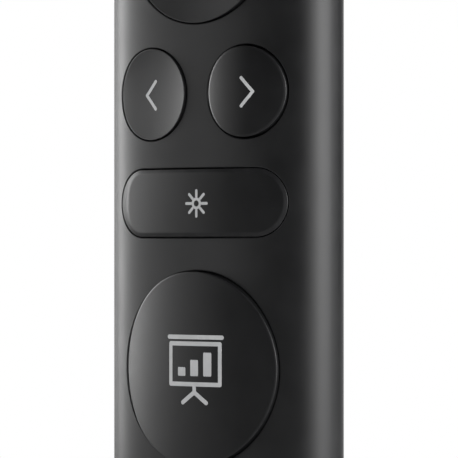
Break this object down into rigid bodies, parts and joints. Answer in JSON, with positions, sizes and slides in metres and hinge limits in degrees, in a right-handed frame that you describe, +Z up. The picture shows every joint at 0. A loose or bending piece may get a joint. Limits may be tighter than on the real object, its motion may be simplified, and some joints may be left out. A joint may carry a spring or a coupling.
{
  "type": "wireless presentation clicker",
  "caption": "Slim matt black hand-held slide remote with a round top: round, bar and large keys on the front, a side button, and a charging socket in its flat lower end.",
  "frame": {"origin": "centre of the flat lower end that the remote stands on", "axes": "+Z up the remote's length towards its round top, the keys face -Y, +X is its right side seen from the front, and +Y its back"},
  "size_m": [0.0293, 0.0112, 0.097],
  "materials": {
    "housing": "fine matt moulded texture",
    "keycap": "fine matt moulded texture",
    "circuit_board": "green solder mask",
    "screw_steel": "zinc plated",
    "light_guide": "clear milky",
    "led_body": "white package",
    "socket_steel": "drawn steel",
    "black_plastic": "moulded",
    "battery_foil": "laminated foil pouch",
    "white_tape": "adhesive tape",
    "foam": "fine foam",
    "red_lead": "insulation",
    "black_lead": "insulation",
    "ivory_plastic": "moulded",
    "shield_steel": "tin plated sheet",
    "chip": "moulded package",
    "ceramic": "glazed ceramic",
    "passives": "ceramic with tinned ends",
    "motor_steel": "stamped can",
    "gold_contact": "gold plated",
    "magnet_nickel": "nickel plated",
    "switch_body": "moulded",
    "plunger": "moulded"
  },
  "bodies": {
    "case": {"front_housing": "housing", "back_cover": "housing", "status_light": "light_guide", "status_led": "led_body", "main_board": "circuit_board", "board_screws": "screw_steel", "mute_switch": "switch_body", "previous_switch": "switch_body", "next_switch": "switch_body", "pointer_switch": "switch_body", "action_switch": "switch_body", "power_switch": "switch_body", "usb_port": "socket_steel", "usb_tongue": "black_plastic", "battery": "battery_foil", "battery_tape": "white_tape", "battery_foam": "foam", "battery_lead_red": "red_lead", "battery_lead_black": "black_lead", "battery_connector": "ivory_plastic", "radio_shield": "shield_steel", "processor": "chip", "antenna": "ceramic", "charger_chip": "chip", "board_parts": "passives", "haptic_motor": "motor_steel", "motor_tape": "foam", "charge_pads": "gold_contact", "charge_pins": "gold_contact", "dock_magnets": "magnet_nickel"},
    "mute": {"mute_key": "keycap", "mute_plunger": "plunger"},
    "previous": {"previous_key": "keycap", "previous_plunger": "plunger"},
    "next": {"next_key": "keycap", "next_plunger": "plunger"},
    "pointer": {"pointer_key": "keycap", "pointer_plunger": "plunger"},
    "action": {"action_key": "keycap", "action_plunger": "plunger"},
    "power": {"power_button": "keycap", "power_plunger": "plunger"}
  },
  "joints": [
    {"name": "mute_key_press", "type": "slide", "parent": "case", "child": "mute", "axis": [0, 1, 0], "range_m": [0, 0.00035], "stiffness_N_per_m": 4000},
    {"name": "previous_key_press", "type": "slide", "parent": "case", "child": "previous", "axis": [0, 1, 0], "range_m": [0, 0.00035], "stiffness_N_per_m": 4000},
    {"name": "next_key_press", "type": "slide", "parent": "case", "child": "next", "axis": [0, 1, 0], "range_m": [0, 0.00035], "stiffness_N_per_m": 4000},
    {"name": "pointer_key_press", "type": "slide", "parent": "case", "child": "pointer", "axis": [0, 1, 0], "range_m": [0, 0.00035], "stiffness_N_per_m": 4000},
    {"name": "action_key_press", "type": "slide", "parent": "case", "child": "action", "axis": [0, 1, 0], "range_m": [0, 0.00035], "stiffness_N_per_m": 4000},
    {"name": "power_button_press", "type": "slide", "parent": "case", "child": "power", "axis": [1, 0, 0], "range_m": [0, 0.0003], "stiffness_N_per_m": 4000}
  ]
}
